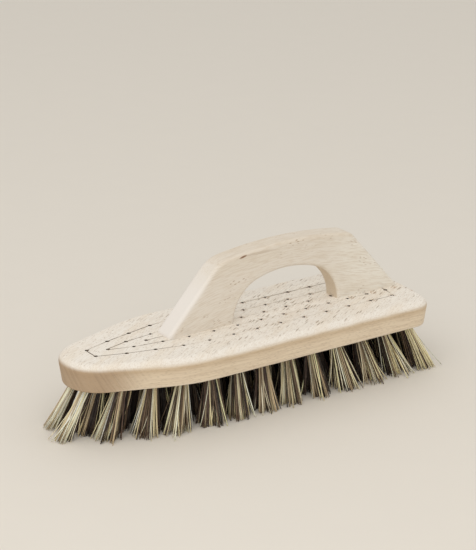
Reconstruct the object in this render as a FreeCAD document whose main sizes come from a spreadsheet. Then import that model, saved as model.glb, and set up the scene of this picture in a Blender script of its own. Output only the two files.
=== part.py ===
"""Scrub brush in millimetres: a pointed beech block, wire-drawn fibre tufts and an arched beech handle.

The origin is the middle of the scrubbing face, under the middle of the block. +X points to the broad rear
end, -X to the pointed nose, and +Z up from the fibre tips to the handle.
"""
import FreeCAD, Part
import enum
import math
import os

import Sketcher
from FreeCAD import Placement, Rotation, Vector

UP = Vector(0, 0, 1)
# How near two heights count as the same
FLAT = 1e-6

SIZES = (
    # The block, as cut out before its edges are rounded
    ("block_length", 259.2),
    ("block_width", 87.4),
    ("block_thickness", 18.0),
    ("nose_radius", 26.3),
    ("nose_taper_angle", 20.0),
    ("shoulder_radius", 100.0),
    ("rear_corner_radius", 14.0),
    ("rear_bow_radius", 180.0),
    ("wall_lean_angle", 8.0),
    ("top_edge_radius", 5.0),
    ("bottom_edge_radius", 1.2),
    # The rows of holes: the margins are from the block's ends and its middle line
    ("row_end_margin", 20.2),
    ("outer_row_offset", 21.9),
    ("inner_row_offset", 10.3),
    # One tuft and its hole: a wide bore from below and a small wire hole from the top
    ("bore_diameter", 7.4),
    ("wire_hole_depth", 5.0),
    ("tuft_clearance", 0.1),
    ("fibre_length", 33.5),
    ("tip_gap", 0.2),
    ("end_splay", 19.3),
    # The drawing wire and the loop that holds each folded tuft
    ("wire_diameter", 0.7),
    ("wire_clearance", 0.05),
    ("wire_hole_clearance", 0.4),
    ("leg_gap", 0.4),
    ("loop_width", 4.4),
    ("loop_drop", 3.5),
    # The handle: its bow is the curved top of the grip, its arch the finger opening
    ("handle_length", 179.8),
    ("handle_height", 48.1),
    ("handle_thickness", 14.8),
    ("handle_set_back", 31.7),
    ("toe_height", 0.3),
    ("toe_radius", 2.8),
    ("end_slope_angle", 48.0),
    ("bow_radius", 298.0),
    ("bow_set_back", 3.6),
    ("front_shoulder_radius", 22.3),
    ("rear_shoulder_radius", 11.7),
    ("arch_length", 82.4),
    ("arch_height", 29.9),
    ("arch_side_radius", 27.8),
    ("arris_radius", 2.2),
    # The countersunk wood screws that hold the handle from below
    ("screw_bite", 12.0),
    ("screw_shank_radius", 2.0),
    ("screw_thread_radius", 1.7),
    ("screw_point_length", 4.0),
    ("screw_point_radius", 0.3),
    ("screw_head_radius", 3.9),
    ("screw_head_height", 2.3),
    ("screw_head_recess", 0.8),
    ("screw_slot_width", 1.1),
    ("screw_slot_depth", 1.0),
    ("screw_clearance", 0.15),
    ("screw_stagger", 3.0),
    # How far a cutting shape runs past the face that it cuts
    ("overrun", 1.0),
)

# Stations count along the rows in pitches from the foremost outer hole
LAST_OUTER_STATION = 12
REAR_EDGE_STATION_SHARE = 12.15
INNER_NOSE_STATION_SHARE = 0.65
INNER_REAR_STATION_SHARE = 11.0
INNER_STATION_SHARES = (1.52, 2.6, 3.6, 4.6, 5.6, 6.6, 7.57, 8.56, 9.57, 10.43, 11.31)
CENTRE_STATION_SHARES = (2.17, 3.15, 4.15, 5.15, 6.13, 7.1, 8.08, 9.08, 10.08)
SCREW_STATION_SHARES = (3.59, 4.63, 10.72, 11.79)
# How far off the middle line each row runs where the block narrows, as shares of its full offset
OUTER_NOSE_SHARES = (0.255, 0.54, 0.74, 0.93)
INNER_NOSE_SHARES = (0.48, 0.72, 0.93)
REAR_EDGE_SHARE = 0.505
# Sideways lean of a tuft's tip, as a share of how far its hole is off the middle line
SIDE_FAN_SHARE = 0.466
# How far down its hole the cut end of a wire is tucked
TAIL_SHARE = 0.8
# Bends of the wire, as shares of the room beside a leg in its hole and of half the loop's width
MOUTH_BEND_SHARE = 0.8
LOOP_BEND_SHARE = 0.45

doc = FreeCAD.newDocument("scrub_brush")
sheet = doc.addObject("Spreadsheet::Sheet", "sizes")
for row, (alias, value) in enumerate(SIZES, start=1):
    sheet.set(f"A{row}", alias)
    sheet.set(f"B{row}", str(value))
    sheet.setAlias(f"B{row}", alias)
doc.recompute()


def size(alias):
    """The value of a named size."""
    return float(getattr(sheet, alias))


def bind(target, **expressions):
    """Ties an object's properties to expressions on the sheet of sizes."""
    for name, expression in expressions.items():
        target.setExpression(name, expression)
    return target


def along(point, axis):
    """A placement at a point with local Z along an axis."""
    return Placement(point, Rotation(UP, axis))


def solid(kind, name, placement, **expressions):
    """A Part primitive or boolean with its sizes bound to the sheet."""
    made = bind(doc.addObject(kind, name), **expressions)
    made.Placement = placement
    return made


def united(name, shapes):
    """One shape fused from several."""
    made = doc.addObject("Part::MultiFuse", name)
    made.Shapes = shapes
    return made


def cut(name, base, tool):
    """A base with a tool taken away."""
    made = doc.addObject("Part::Cut", name)
    made.Base = base
    made.Tool = tool
    return made


def feature(name, shape):
    """A shape made with Part's own functions, as an object of the document."""
    made = doc.addObject("Part::Feature", name)
    made.Shape = shape
    return made


def plane(body, role):
    """One of a body's own origin planes."""
    return next(item for item in body.Origin.OriginFeatures if item.Role == role)


# Heights above the scrubbing face
UNDERSIDE = size("fibre_length")
BLOCK_TOP = UNDERSIDE + size("block_thickness")

# The two legs of wire in a hole, and the hole that holds them
LEG_OFFSET = (size("leg_gap") + size("wire_diameter")) / 2
WIRE_HOLE_RADIUS = LEG_OFFSET + size("wire_diameter") / 2 + size("wire_hole_clearance")
wire_hole_radius = "(sizes.leg_gap / 2 + sizes.wire_diameter + sizes.wire_hole_clearance)"

# Places along the block
HALF_LENGTH = size("block_length") / 2
ROW_REACH = HALF_LENGTH - size("row_end_margin")
PITCH = 2 * ROW_REACH / REAR_EDGE_STATION_SHARE


def station_x(station):
    """Distance along X of a station of the rows."""
    return station * PITCH - ROW_REACH


class Hole:
    """One drilled hole: its mouth on the block's top and the leaning axis that its tuft follows."""

    def __init__(self, station, offset):
        self.top = Vector(station_x(station), offset, BLOCK_TOP)
        splay = size("end_splay") * self.top.x / ROW_REACH
        reach = Vector(splay, offset * SIDE_FAN_SHARE, -BLOCK_TOP)
        self.tip = self.top + reach
        self.axis = Vector(reach).normalize()
        # Length along the axis for each unit of height, and the slope of the axis off the upright
        self.slant = reach.Length / BLOCK_TOP
        self.slope = math.hypot(reach.x, reach.y) / BLOCK_TOP

    def at_depth(self, depth):
        """The point of the axis at a depth below the block's top."""
        return self.top + self.axis * (depth * self.slant)

    def stretch(self, direction):
        """How much longer the leaning tuft's trimmed tip is in a level direction than it is round."""
        lean = self.axis.dot(direction) / self.axis.z
        return math.hypot(1, lean)


def nose_rows(stations, offset, shares):
    """The stations of a row with their offsets, drawn in towards the middle line at the nose."""
    full = [1] * (len(stations) - len(shares))
    return [(station, size(offset) * share) for station, share in zip(stations, list(shares) + full)]


def ring(row, rear, nose):
    """Holes in the order of the wire: rear middle, near row to the nose, nose, far row back."""
    near = [Hole(station, -offset) for station, offset in reversed(row)]
    far = [Hole(station, offset) for station, offset in row]
    return rear + near + nose + far


outer_row = nose_rows(range(LAST_OUTER_STATION + 1), "outer_row_offset", OUTER_NOSE_SHARES)
outer_row.append((REAR_EDGE_STATION_SHARE, size("outer_row_offset") * REAR_EDGE_SHARE))
inner_row = nose_rows(INNER_STATION_SHARES, "inner_row_offset", INNER_NOSE_SHARES)
OUTER_HOLES = ring(outer_row, [Hole(REAR_EDGE_STATION_SHARE, 0)], [])
INNER_HOLES = ring(inner_row, [Hole(INNER_REAR_STATION_SHARE, 0)], [Hole(INNER_NOSE_STATION_SHARE, 0)])
CENTRE_HOLES = [Hole(station, 0) for station in CENTRE_STATION_SHARES]
RING_HOLES = OUTER_HOLES + INNER_HOLES
ALL_HOLES = RING_HOLES + CENTRE_HOLES


def room(one, other, taken=0):
    """The tip radius that leaves the tip gap between two tufts, the other's being taken or the same."""
    between = other.tip - one.tip
    free = between.Length - size("tip_gap")
    between.normalize()
    if taken:
        return (free - taken * other.stretch(between)) / one.stretch(between)
    return free / (one.stretch(between) + other.stretch(between))


def fair_tips(holes):
    """Tip radii for which every tuft nearly meets the nearest of the others."""
    return [min(room(hole, other) for other in holes if other is not hole) for hole in holes]


# The tufts of the two rings share the room between them, and the centre row fills what is left
RING_TIPS = fair_tips(RING_HOLES)
OUTER_TIPS = RING_TIPS[: len(OUTER_HOLES)]
INNER_TIPS = RING_TIPS[len(OUTER_HOLES) :]
CENTRE_TIPS = [
    min(fair, *(room(hole, other, tip) for other, tip in zip(RING_HOLES, RING_TIPS)))
    for hole, fair in zip(CENTRE_HOLES, fair_tips(CENTRE_HOLES))
]


def rounded_path(corners):
    """A wire of straight runs with a tangent arc at each inner corner, from (point, radius) pairs."""
    edges = []
    start = corners[0][0]
    for (before, _), (corner, radius), (after, _) in zip(corners, corners[1:], corners[2:]):
        back = (before - corner).normalize()
        ahead = (after - corner).normalize()
        half_angle = back.getAngle(ahead) / 2
        reach = radius / math.tan(half_angle)
        enter = corner + back * reach
        leave = corner + ahead * reach
        inward = (back + ahead).normalize()
        middle = corner + inward * (radius / math.sin(half_angle) - radius)
        edges.append(Part.LineSegment(start, enter).toShape())
        edges.append(Part.Arc(enter, middle, leave).toShape())
        start = leave
    edges.append(Part.LineSegment(start, corners[-1][0]).toShape())
    return Part.Wire(edges)


def tube(path, radius):
    """A round solid swept along a path."""
    first = path.Edges[0]
    start = first.valueAt(first.FirstParameter)
    heading = first.tangentAt(first.FirstParameter)
    section = Part.Wire(Part.makeCircle(radius, start, heading))
    return path.makePipeShell([section], True, False)


class WireRow:
    """One drawing wire: straight runs on the block's top and a loop down each hole in turn."""

    def __init__(self, name, holes, closed):
        self.name = name
        self.holes = holes
        self.closed = closed

    def heading(self, index):
        """The level direction in which the wire's two legs stand apart in a hole."""
        count = len(self.holes)
        index %= count
        before = self.holes[index - 1 if self.closed else max(index - 1, 0)]
        after = self.holes[(index + 1) % count if self.closed else min(index + 1, count - 1)]
        return (after.top - before.top).normalize()

    def side(self, index, sign):
        """The mouth, neck and loop corners of one leg, down from the level of the runs."""
        hole = self.holes[index]
        heading = self.heading(index)
        # The legs stay straight until they are inside the fold
        neck_depth = size("wire_hole_depth") + size("wire_diameter")
        foot_depth = size("wire_hole_depth") + size("loop_drop")
        foot_offset = size("loop_width") / 2
        mouth = hole.at_depth(size("wire_diameter") / 2) + heading * (sign * LEG_OFFSET)
        neck = hole.at_depth(neck_depth) + heading * (sign * LEG_OFFSET)
        foot = hole.at_depth(foot_depth) + heading * (sign * foot_offset)
        mouth_bend = (WIRE_HOLE_RADIUS - LEG_OFFSET) * MOUTH_BEND_SHARE
        loop_bend = foot_offset * LOOP_BEND_SHARE
        return [(mouth, mouth_bend), (neck, loop_bend), (foot, loop_bend)]

    def runs(self):
        """The end points of each straight run on the block's top."""
        last = len(self.holes) if self.closed else len(self.holes) - 1
        return [
            (self.side(index, 1)[0][0], self.side((index + 1) % len(self.holes), -1)[0][0])
            for index in range(last)
        ]

    def corners(self):
        """The whole wire's corners, from the loop in the first hole to its tucked end."""
        loop_depth = size("wire_hole_depth") + size("loop_drop")
        route = [(self.holes[0].at_depth(loop_depth), 0)] + self.side(0, 1)[::-1]
        for index in range(1, len(self.holes) - 1):
            route += self.side(index, -1) + self.side(index, 1)[::-1]
        route += self.side(-1, -1)
        if not self.closed:
            return route + [(self.holes[-1].at_depth(loop_depth), 0)]
        mouth = self.side(0, -1)[0]
        tail = mouth[0] + self.holes[0].axis * (size("wire_hole_depth") * TAIL_SHARE)
        return route + self.side(-1, 1)[::-1] + [mouth, (tail, 0)]

    def loop_channel(self, index):
        """The space that the wire's loop takes up in a folded tuft."""
        down = self.side(index, -1)[1:]
        up = self.side(index, 1)[:0:-1]
        rise = self.holes[index].axis * (-size("overrun"))
        corners = [(down[0][0] + rise, 0)] + down + up + [(up[-1][0] + rise, 0)]
        return tube(rounded_path(corners), size("wire_diameter") / 2 + size("wire_clearance"))

    def build(self):
        """The wire as one solid."""
        return feature(self.name, tube(rounded_path(self.corners()), size("wire_diameter") / 2))


WIRES = (
    WireRow("outer_wire", OUTER_HOLES, True),
    WireRow("inner_wire", INNER_HOLES, True),
    WireRow("centre_wire", CENTRE_HOLES, False),
)


def profile_sketch(body, name, role, shapes):
    """A sketch on one of a body's planes, holding arcs and lines in order."""
    sketch = body.newObject("Sketcher::SketchObject", name)
    sketch.AttachmentSupport = [(plane(body, role), "")]
    sketch.MapMode = "FlatFace"
    for shape in shapes:
        sketch.addGeometry(shape, False)
    return sketch


def constrain(sketch, *items):
    """Adds constraints, each given as its Sketcher arguments."""
    for item in items:
        sketch.addConstraint(Sketcher.Constraint(*item))


def dimension(sketch, name, expression, *item):
    """Adds a named constraint that takes its value from the sheet of sizes."""
    index = sketch.addConstraint(Sketcher.Constraint(*item))
    sketch.renameConstraint(index, name)
    sketch.setExpression(f"Constraints.{name}", expression)


def arc(centre, radius, first, last):
    """An arc of a circle in a sketch, counter-clockwise between two angles in radians."""
    return Part.ArcOfCircle(Part.Circle(centre, UP, radius), first, last)


def on_arc(centre, radius, angle):
    """The point of a circle at an angle in radians."""
    return centre + Vector(math.cos(angle), math.sin(angle), 0) * radius


# Places on a curve of a sketch, which Sketcher counts from one, and the axes of the sketch by index
Spot = enum.IntEnum("Spot", ("START", "END", "CENTRE"))
START, END, CENTRE = Spot
X_AXIS_INDEX, Y_AXIS_INDEX = -START, -END
ORIGIN = (X_AXIS_INDEX, START)


def block_body():
    """The block's outline on its top, padded down with leaning walls, and its rounded edges."""
    body = doc.addObject("PartDesign::Body", "block_body")
    half_width = size("block_width") / 2
    taper = math.radians(size("nose_taper_angle"))
    square = math.pi / 2
    nose, shoulder, corner = size("nose_radius"), size("shoulder_radius"), size("rear_corner_radius")
    bow = size("rear_bow_radius")
    nose_centre = Vector(nose - HALF_LENGTH, 0, 0)
    rise = (half_width - shoulder) * math.cos(taper) + shoulder - nose
    shoulder_x = nose_centre.x + rise / math.sin(taper)
    shoulder_centre = {side: Vector(shoulder_x, side * (half_width - shoulder), 0) for side in (1, -1)}
    # The corners touch the sides and the bowed rear end from inside
    bow_centre = Vector(HALF_LENGTH - bow, 0, 0)
    corner_y = half_width - corner
    bow_turn = math.asin(corner_y / (bow - corner))
    corner_x = bow_centre.x + (bow - corner) * math.cos(bow_turn)
    corner_centre = {side: Vector(corner_x, side * corner_y, 0) for side in (1, -1)}
    up, down = square + taper, -square - taper

    def line(first, first_radius, second, second_radius, angle):
        """The straight line that touches two circles at one angle."""
        return Part.LineSegment(on_arc(first, first_radius, angle), on_arc(second, second_radius, angle))

    shapes = [
        arc(nose_centre, nose, up, down + 2 * math.pi),
        line(nose_centre, nose, shoulder_centre[1], shoulder, up),
        arc(shoulder_centre[1], shoulder, square, up),
        line(shoulder_centre[1], shoulder, corner_centre[1], corner, square),
        arc(corner_centre[1], corner, bow_turn, square),
        arc(bow_centre, bow, -bow_turn, bow_turn),
        arc(corner_centre[-1], corner, -square, -bow_turn),
        line(corner_centre[-1], corner, shoulder_centre[-1], shoulder, -square),
        arc(shoulder_centre[-1], shoulder, down, -square),
        line(nose_centre, nose, shoulder_centre[-1], shoulder, down),
    ]
    sketch = profile_sketch(body, "block_outline", "XY_Plane", shapes)
    nose_arc, far_taper, far_shoulder, far_side, far_corner = range(5)
    rear, near_corner, near_side, near_shoulder, near_taper = range(5, 10)
    constrain(
        sketch,
        ("Tangent", nose_arc, START, far_taper, START),
        ("Tangent", far_taper, END, far_shoulder, END),
        ("Tangent", far_shoulder, START, far_side, START),
        ("Tangent", far_side, END, far_corner, END),
        ("Tangent", far_corner, START, rear, END),
        ("Tangent", rear, START, near_corner, END),
        ("Tangent", near_corner, START, near_side, START),
        ("Tangent", near_side, END, near_shoulder, END),
        ("Tangent", near_shoulder, START, near_taper, END),
        ("Tangent", near_taper, START, nose_arc, END),
        ("PointOnObject", nose_arc, CENTRE, X_AXIS_INDEX),
        ("PointOnObject", rear, CENTRE, X_AXIS_INDEX),
        ("Horizontal", far_side),
        ("Horizontal", near_side),
        ("Equal", far_shoulder, near_shoulder),
        ("Equal", far_corner, near_corner),
    )
    reach = "sizes.block_length / 2"
    spread = "sizes.block_width / 2"
    dimension(sketch, "nose_radius", "sizes.nose_radius", "Radius", nose_arc, nose)
    dimension(sketch, "shoulder_radius", "sizes.shoulder_radius", "Radius", far_shoulder, shoulder)
    dimension(sketch, "corner_radius", "sizes.rear_corner_radius", "Radius", far_corner, corner)
    nose_reach = f"{reach} - sizes.nose_radius"
    dimension(sketch, "nose_reach", nose_reach, "DistanceX", nose_arc, CENTRE, *ORIGIN, -nose_centre.x)
    rear_reach = f"sizes.rear_bow_radius - {reach}"
    dimension(sketch, "rear_bow", "sizes.rear_bow_radius", "Radius", rear, bow)
    dimension(sketch, "rear_reach", rear_reach, "DistanceX", rear, CENTRE, *ORIGIN, -bow_centre.x)
    dimension(sketch, "far_spread", spread, "DistanceY", *ORIGIN, far_side, START, half_width)
    dimension(sketch, "near_spread", spread, "DistanceY", near_side, START, *ORIGIN, half_width)
    dimension(sketch, "far_angle", "sizes.nose_taper_angle * 1 deg", "Angle", far_taper, taper)
    dimension(sketch, "near_angle", "-sizes.nose_taper_angle * 1 deg", "Angle", near_taper, -taper)
    pad = body.newObject("PartDesign::Pad", "block_pad")
    pad.Profile = sketch
    pad.Reversed = True
    bind(pad, Length="sizes.block_thickness", TaperAngle="-sizes.wall_lean_angle * 1 deg")
    doc.recompute()
    top = round_edges(body, pad, "block_top_edge", "sizes.top_edge_radius", lambda edge: at_level(edge, 0))
    round_edges(
        body, top, "block_bottom_edge", "sizes.bottom_edge_radius",
        lambda edge: at_level(edge, -size("block_thickness")),
    )
    body.Placement = Placement(UP * BLOCK_TOP, Rotation())
    return body


def at_level(edge, level):
    """True for an edge that lies flat at a height."""
    box = edge.BoundBox
    return math.isclose(box.ZMin, level, abs_tol=FLAT) and math.isclose(box.ZMax, level, abs_tol=FLAT)


def round_edges(body, base, name, radius, wanted):
    """Rounds the edges of a feature that a test picks."""
    fillet = body.newObject("PartDesign::Fillet", name)
    names = [f"Edge{number}" for number, edge in enumerate(base.Shape.Edges, start=1) if wanted(edge)]
    fillet.Base = (base, names)
    bind(fillet, Radius=radius)
    doc.recompute()
    return fillet


def handle_body():
    """The handle's side profile, padded both ways from the middle plane, with rounded arrises."""
    body = doc.addObject("PartDesign::Body", "handle_body")
    slope = math.radians(size("end_slope_angle"))
    half, height, toe = size("handle_length") / 2, size("handle_height"), size("toe_height")
    arch_half, arch_top, arch_side = size("arch_length") / 2, size("arch_height"), size("arch_side_radius")
    side_x = arch_half - arch_side
    crown = (side_x**2 + arch_top**2 - arch_side**2) / (2 * (arch_top - arch_side))
    crown_centre = Vector(0, arch_top - crown, 0)
    crown_turn = math.atan2(-crown_centre.y, side_x)
    bow, bow_back = size("bow_radius"), size("bow_set_back")
    bow_centre = Vector(bow_back, height - bow, 0)
    toe_radius = size("toe_radius")

    def end(side, shoulder):
        """Centres of one end's toe and shoulder arcs, on its slope and on the bow."""
        toe_centre = Vector(side * (half - toe_radius), toe, 0)
        normal = Vector(side * math.sin(slope), math.cos(slope), 0)
        line = toe_centre.dot(normal) + toe_radius - shoulder
        # The shoulder's centre keeps its radius inside the slope and inside the bow
        offset = line - bow_centre.dot(normal)
        run = math.sqrt((bow - shoulder) ** 2 - offset**2)
        tangent = Vector(-side * math.cos(slope), math.sin(slope), 0)
        centre = bow_centre + normal * offset + tangent * run
        return toe_centre, centre, normal, (centre - bow_centre).normalize()

    front_shoulder, rear_shoulder = size("front_shoulder_radius"), size("rear_shoulder_radius")
    front_toe_centre, front_centre, front_normal, front_bow = end(-1, front_shoulder)
    rear_toe_centre, rear_centre, rear_normal, rear_bow = end(1, rear_shoulder)

    def angle(direction):
        """The angle of a direction in the sketch, in radians."""
        return math.atan2(direction.y, direction.x)

    front_side, rear_side = Vector(-side_x, 0, 0), Vector(side_x, 0, 0)
    rear_low = rear_toe_centre + rear_normal * toe_radius
    rear_high = rear_centre + rear_normal * rear_shoulder
    front_low = front_toe_centre + front_normal * toe_radius
    front_high = front_centre + front_normal * front_shoulder
    shapes = [
        Part.LineSegment(Vector(-half, 0, 0), Vector(-arch_half, 0, 0)),
        arc(front_side, arch_side, math.pi - crown_turn, math.pi),
        arc(crown_centre, crown, crown_turn, math.pi - crown_turn),
        arc(rear_side, arch_side, 0, crown_turn),
        Part.LineSegment(Vector(arch_half, 0, 0), Vector(half, 0, 0)),
        Part.LineSegment(Vector(half, 0, 0), Vector(half, toe, 0)),
        arc(rear_toe_centre, toe_radius, 0, angle(rear_normal)),
        Part.LineSegment(rear_low, rear_high),
        arc(rear_centre, rear_shoulder, angle(rear_normal), angle(rear_bow)),
        arc(bow_centre, bow, angle(rear_bow), angle(front_bow)),
        arc(front_centre, front_shoulder, angle(front_bow), angle(front_normal)),
        Part.LineSegment(front_high, front_low),
        arc(front_toe_centre, toe_radius, angle(front_normal), math.pi),
        Part.LineSegment(Vector(-half, toe, 0), Vector(-half, 0, 0)),
    ]
    sketch = profile_sketch(body, "handle_profile", "XZ_Plane", shapes)
    front_foot, front_arch, crown_arc, rear_arch, rear_foot, rear_toe, rear_toe_arc = range(7)
    rear_slope, rear_arc, bow_arc, front_arc, front_slope, front_toe_arc, front_toe = range(7, 14)
    crown_top = sketch.addGeometry(Part.Point(Vector(0, arch_top, 0)), True)
    bow_top = sketch.addGeometry(Part.Point(Vector(bow_back, height, 0)), True)
    constrain(
        sketch,
        ("Coincident", front_foot, END, front_arch, END),
        ("Tangent", front_arch, START, crown_arc, END),
        ("Tangent", crown_arc, START, rear_arch, END),
        ("Coincident", rear_arch, START, rear_foot, START),
        ("Coincident", rear_foot, END, rear_toe, START),
        ("Tangent", rear_toe, END, rear_toe_arc, START),
        ("Tangent", rear_toe_arc, END, rear_slope, START),
        ("Tangent", rear_slope, END, rear_arc, START),
        ("Tangent", rear_arc, END, bow_arc, START),
        ("Tangent", bow_arc, END, front_arc, START),
        ("Tangent", front_arc, END, front_slope, START),
        ("Tangent", front_slope, END, front_toe_arc, START),
        ("Tangent", front_toe_arc, END, front_toe, START),
        ("Coincident", front_toe, END, front_foot, START),
        ("PointOnObject", front_foot, START, X_AXIS_INDEX),
        ("PointOnObject", front_foot, END, X_AXIS_INDEX),
        ("PointOnObject", rear_foot, START, X_AXIS_INDEX),
        ("PointOnObject", rear_foot, END, X_AXIS_INDEX),
        ("PointOnObject", front_arch, CENTRE, X_AXIS_INDEX),
        ("PointOnObject", rear_arch, CENTRE, X_AXIS_INDEX),
        ("PointOnObject", crown_top, START, crown_arc),
        ("PointOnObject", crown_top, START, Y_AXIS_INDEX),
        ("PointOnObject", bow_top, START, bow_arc),
        ("Vertical", bow_top, START, bow_arc, CENTRE),
        ("Vertical", rear_toe),
        ("Vertical", front_toe),
        ("Equal", front_toe_arc, rear_toe_arc),
        ("Equal", front_arch, rear_arch),
    )
    for name, foot, place, expression, value in (
        ("front_reach", front_foot, START, "sizes.handle_length / 2", half),
        ("front_arch_reach", front_foot, END, "sizes.arch_length / 2", arch_half),
    ):
        dimension(sketch, name, expression, "DistanceX", foot, place, *ORIGIN, value)
    for name, foot, place, expression, value in (
        ("rear_reach", rear_foot, END, "sizes.handle_length / 2", half),
        ("rear_arch_reach", rear_foot, START, "sizes.arch_length / 2", arch_half),
    ):
        dimension(sketch, name, expression, "DistanceX", *ORIGIN, foot, place, value)
    dimension(sketch, "rear_toe_height", "sizes.toe_height", "DistanceY", *ORIGIN, rear_toe, END, toe)
    dimension(sketch, "front_toe_height", "sizes.toe_height", "DistanceY", *ORIGIN, front_toe, START, toe)
    dimension(sketch, "crown_height", "sizes.arch_height", "DistanceY", *ORIGIN, crown_top, START, arch_top)
    dimension(sketch, "bow_set_back", "sizes.bow_set_back", "DistanceX", *ORIGIN, bow_top, START, bow_back)
    dimension(sketch, "bow_height", "sizes.handle_height", "DistanceY", *ORIGIN, bow_top, START, height)
    dimension(sketch, "toe_radius", "sizes.toe_radius", "Radius", rear_toe_arc, toe_radius)
    dimension(sketch, "arch_radius", "sizes.arch_side_radius", "Radius", front_arch, arch_side)
    dimension(sketch, "bow_radius", "sizes.bow_radius", "Radius", bow_arc, bow)
    dimension(sketch, "front_radius", "sizes.front_shoulder_radius", "Radius", front_arc, front_shoulder)
    dimension(sketch, "rear_radius", "sizes.rear_shoulder_radius", "Radius", rear_arc, rear_shoulder)
    lean = "(180 - sizes.end_slope_angle) * 1 deg"
    dimension(sketch, "rear_angle", lean, "Angle", rear_slope, math.pi - slope)
    dimension(sketch, "front_angle", f"-{lean}", "Angle", front_slope, slope - math.pi)
    pad = body.newObject("PartDesign::Pad", "handle_pad")
    pad.Profile = sketch
    pad.Midplane = True
    bind(pad, Length="sizes.handle_thickness")
    doc.recompute()

    def on_face(edge):
        """True for an edge of the near or far face that isn't on the base."""
        box = edge.BoundBox
        flat = math.isclose(box.YMin, box.YMax, abs_tol=FLAT)
        return flat and not at_level(edge, 0)

    round_edges(body, pad, "handle_arris", "sizes.arris_radius", on_face)
    body.Placement = Placement(Vector(size("handle_set_back"), 0, BLOCK_TOP), Rotation())
    return body


def tuft(name, wire, index, tip):
    """A folded bunch of fibres: a neck in its bore, a flare, a flat trim and room for the wire's loop."""
    hole = wire.holes[index]
    neck_start = hole.at_depth(size("wire_hole_depth"))
    radius = "(sizes.bore_diameter / 2 - sizes.tuft_clearance)"
    bore_run = f"(sizes.block_thickness - sizes.wire_hole_depth) * {hole.slant}"
    neck_run = f"({bore_run} + {radius} * {hole.slope})"
    # The flare is as wide as its tip where its axis meets the scrubbing face, and runs on below it
    to_face = f"({bore_run} + sizes.fibre_length * {hole.slant} - {neck_run})"
    flare_run = f"({to_face} + {2 * tip * hole.slope} + sizes.overrun)"
    growth = f"(({tip} - {radius}) / {to_face})"
    neck_place = along(neck_start, hole.axis)
    neck = solid("Part::Cylinder", f"{name}_neck", neck_place, Radius=radius, Height=neck_run)
    doc.recompute([neck])
    flare_place = along(neck_start + hole.axis * neck.Height.Value, hole.axis)
    flare = solid(
        "Part::Cone", f"{name}_flare", flare_place,
        Radius1=radius, Radius2=f"{radius} + {growth} * {flare_run}", Height=flare_run,
    )
    trim = doc.addObject("Part::Compound", f"{name}_trim")
    trim.Links = [under_face, feature(f"{name}_loop_room", wire.loop_channel(index))]
    return cut(name, united(f"{name}_bunch", [neck, flare]), trim)


def hole_tools():
    """The bores from below and the wire holes from above, one of each for every tuft."""
    tools = []
    for number, hole in enumerate(ALL_HOLES, start=1):
        bore_run = f"(sizes.block_thickness - sizes.wire_hole_depth) * {hole.slant}"
        bore_end = hole.at_depth(size("wire_hole_depth"))
        past_underside = f"sizes.bore_diameter * {hole.slope} + sizes.overrun"
        bore = solid(
            "Part::Cylinder", f"bore_{number:02}", along(bore_end, hole.axis),
            Radius="sizes.bore_diameter / 2", Height=f"{bore_run} + {past_underside}",
        )
        # The wire hole starts above the leaning rim of its mouth and ends inside the bore
        above = size("overrun") + WIRE_HOLE_RADIUS * hole.slope
        past_ends = f"2 * sizes.overrun + {wire_hole_radius} * {hole.slope}"
        wire_hole = solid(
            "Part::Cylinder", f"wire_hole_{number:02}", along(hole.top - hole.axis * above, hole.axis),
            Radius=wire_hole_radius, Height=f"sizes.wire_hole_depth * {hole.slant} + {past_ends}",
        )
        tools += [bore, wire_hole]
    return tools


def groove_tools():
    """A square groove under each straight run of wire, so that the wire lies flush with the block's top."""
    tools = []
    half_groove = size("wire_diameter") / 2 + size("wire_clearance")
    for wire in WIRES:
        for number, (start, end) in enumerate(wire.runs(), start=1):
            run = end - start
            turn = Rotation(Vector(1, 0, 0), run)
            corner = start + turn.multVec(Vector(0, -half_groove, -half_groove))
            groove = solid(
                "Part::Box", f"{wire.name}_groove_{number:02}", Placement(corner, turn),
                Width="sizes.wire_diameter + 2 * sizes.wire_clearance",
                Height="sizes.wire_diameter + sizes.wire_clearance + sizes.overrun",
            )
            groove.Length = run.Length
            tools.append(groove)
    return tools


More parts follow.
